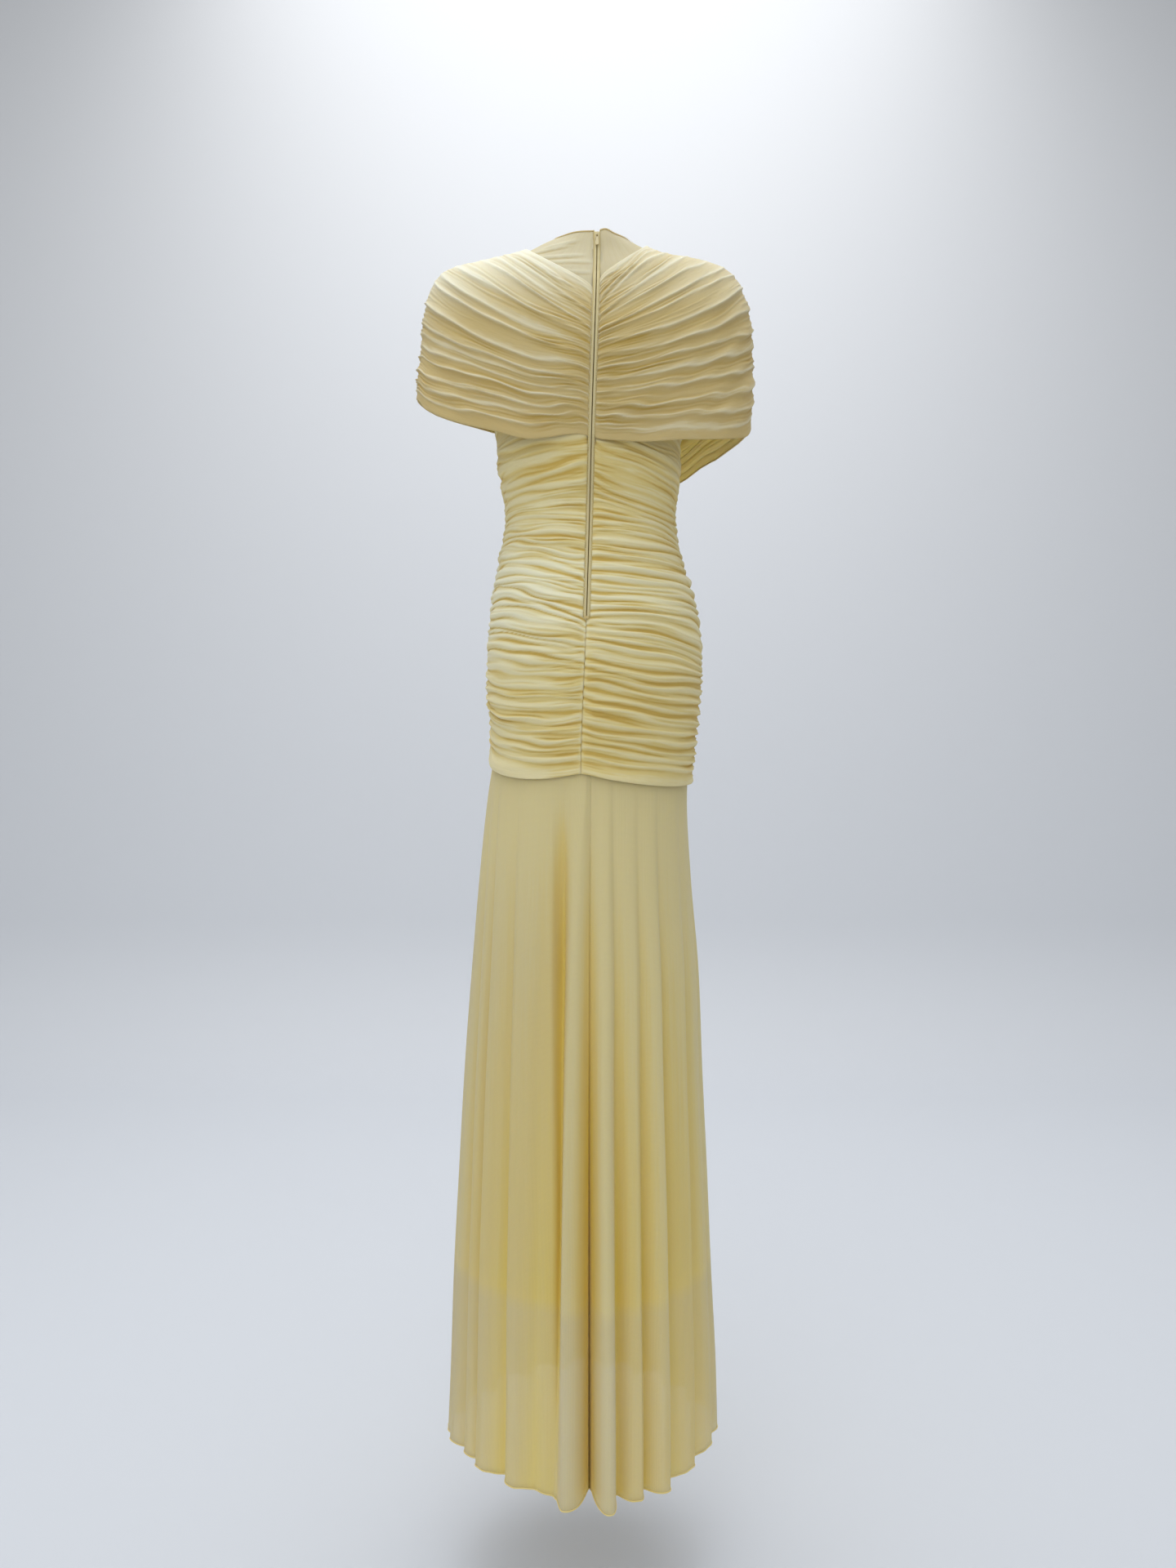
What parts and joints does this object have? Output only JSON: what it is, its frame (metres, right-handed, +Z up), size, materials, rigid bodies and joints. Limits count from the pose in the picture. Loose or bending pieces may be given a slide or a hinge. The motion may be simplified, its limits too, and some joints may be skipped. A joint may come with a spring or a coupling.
{
  "type": "draped-shoulder maxi dress",
  "caption": "Hollow worn maxi dress of sheer stretch mesh: gathered drape over both shoulders, ruched bodice with back zip, flared folded skirt over a knee-length lining.",
  "frame": {"origin": "middle of the neck opening at the height of the nape, where the wearer's shoulders carry the dress", "axes": "+Z up; the front faces -Y and the wearer's left side is +X"},
  "size_m": [0.4365, 0.3421, 1.5266],
  "materials": {
    "ruched_mesh": "soft matt stretch mesh, butter yellow, gathered",
    "plain_mesh": "soft matt stretch mesh, butter yellow, semi-sheer",
    "lining_knit": "smooth matt knit lining in the same yellow",
    "zip_welt": "folded and stitched mesh edge",
    "zip_tape": "woven zip tape",
    "painted_zip": "yellow enamel"
  },
  "bodies": {
    "dress": {"yoke_left": "plain_mesh", "yoke_right": "plain_mesh", "yoke_front": "plain_mesh", "back_left": "ruched_mesh", "back_right": "ruched_mesh", "front": "ruched_mesh", "drape_back_left": "ruched_mesh", "drape_back_right": "ruched_mesh", "drape_front": "ruched_mesh", "skirt_back_left": "plain_mesh", "skirt_back_right": "plain_mesh", "skirt_front": "plain_mesh", "lining": "lining_knit", "zip_tape_left": "zip_tape", "zip_tape_right": "zip_tape", "zip_welt_left": "zip_welt", "zip_welt_right": "zip_welt", "zip_stop": "zip_welt", "zip_slider": "painted_zip"},
    "pull": {"zip_pull": "painted_zip"}
  },
  "joints": [
    {"name": "pull_swing", "type": "hinge", "parent": "dress", "child": "pull", "pos_m": [-0.007, 0.06041, -0.00639], "axis": [1, 0, 0], "range_deg": [0, 150]}
  ]
}
